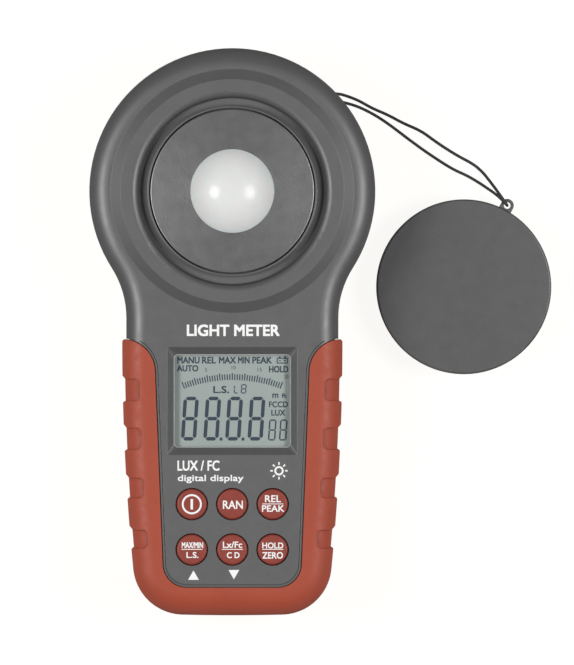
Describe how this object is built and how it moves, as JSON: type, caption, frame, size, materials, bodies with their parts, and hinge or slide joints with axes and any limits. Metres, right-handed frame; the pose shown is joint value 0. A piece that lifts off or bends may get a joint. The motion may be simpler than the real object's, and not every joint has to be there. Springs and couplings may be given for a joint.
{
  "type": "light meter",
  "caption": "Hand-held light meter with a domed sensor in a dished round head, display, press keys, soft grip, battery door and a tethered lens cap.",
  "frame": {"origin": "middle of the neck on the flat back of the meter, on the surface that it lies on", "axes": "+Z out of the face, +Y along the meter towards the sensor head, +X to the right of the face"},
  "size_m": [0.1391, 0.1701, 0.0387],
  "materials": {
    "battery_can": "satin",
    "board_green": "satin",
    "cable_film": "satin",
    "cap_grey": "fine grained",
    "case_grey": "fine grained",
    "chip_black": "satin",
    "component_metal": "satin",
    "contact_rubber": "matt",
    "cord_dark": "matt",
    "display_cell": "polished",
    "dome_steel": "satin",
    "filter_glass": "polished",
    "foam": "matt",
    "frame_white": "satin",
    "grip_red": "satin",
    "key_red": "satin",
    "lead_insulation": "satin",
    "opal_white": "satin",
    "screw_steel": "satin",
    "sensor_black": "fine grained",
    "window_clear": "polished"
  },
  "bodies": {
    "meter": {"battery": "battery_can", "battery_leads": "lead_insulation", "battery_snap": "chip_black", "board_components": "component_metal", "board_screws": "screw_steel", "case_screws": "screw_steel", "colour_filter": "filter_glass", "contact_strips": "contact_rubber", "cord_knot": "cord_dark", "diffuser_dome": "opal_white", "display_frame": "frame_white", "display_glass": "display_cell", "display_window": "window_clear", "front_case": "case_grey", "front_grip": "grip_red", "keypad_mat": "contact_rubber", "main_board": "board_green", "main_chip": "chip_black", "photodiode": "chip_black", "rear_case": "case_grey", "rear_grip": "grip_red", "sensor_board": "board_green", "sensor_cable": "cable_film", "sensor_carrier": "sensor_black", "sensor_plate": "sensor_black", "sensor_rim": "case_grey", "sensor_screws": "screw_steel", "snap_domes": "dome_steel", "strap_bar": "screw_steel", "tether_cord": "cord_dark"},
    "key_power_body": {"key_power": "key_red"},
    "key_range_body": {"key_range": "key_red"},
    "key_relative_body": {"key_relative": "key_red"},
    "key_max_min_body": {"key_max_min": "key_red"},
    "key_units_body": {"key_units": "key_red"},
    "key_hold_body": {"key_hold": "key_red"},
    "door_body": {"battery_door": "case_grey", "battery_pad": "foam"},
    "cap_body": {"lens_cap": "cap_grey"}
  },
  "joints": [
    {"name": "key_power_press", "type": "slide", "parent": "meter", "child": "key_power_body", "axis": [0, 0, -1], "range_m": [0, 0.0008], "stiffness_N_per_m": 2000},
    {"name": "key_range_press", "type": "slide", "parent": "meter", "child": "key_range_body", "axis": [0, 0, -1], "range_m": [0, 0.0008], "stiffness_N_per_m": 2000},
    {"name": "key_relative_press", "type": "slide", "parent": "meter", "child": "key_relative_body", "axis": [0, 0, -1], "range_m": [0, 0.0008], "stiffness_N_per_m": 2000},
    {"name": "key_max_min_press", "type": "slide", "parent": "meter", "child": "key_max_min_body", "axis": [0, 0, -1], "range_m": [0, 0.0008], "stiffness_N_per_m": 2000},
    {"name": "key_units_press", "type": "slide", "parent": "meter", "child": "key_units_body", "axis": [0, 0, -1], "range_m": [0, 0.0008], "stiffness_N_per_m": 2000},
    {"name": "key_hold_press", "type": "slide", "parent": "meter", "child": "key_hold_body", "axis": [0, 0, -1], "range_m": [0, 0.0008], "stiffness_N_per_m": 2000},
    {"name": "battery_door_hinge", "type": "hinge", "parent": "meter", "child": "door_body", "pos_m": [0, -0.06615, 0.0011], "axis": [-1, 0, 0], "range_deg": [0, 75]},
    {"name": "cap_swivel", "type": "hinge", "parent": "meter", "child": "cap_body", "pos_m": [0.0829, 0.03805, 0.0093], "axis": [0, 0, 1], "range_deg": [-10, 120]}
  ]
}
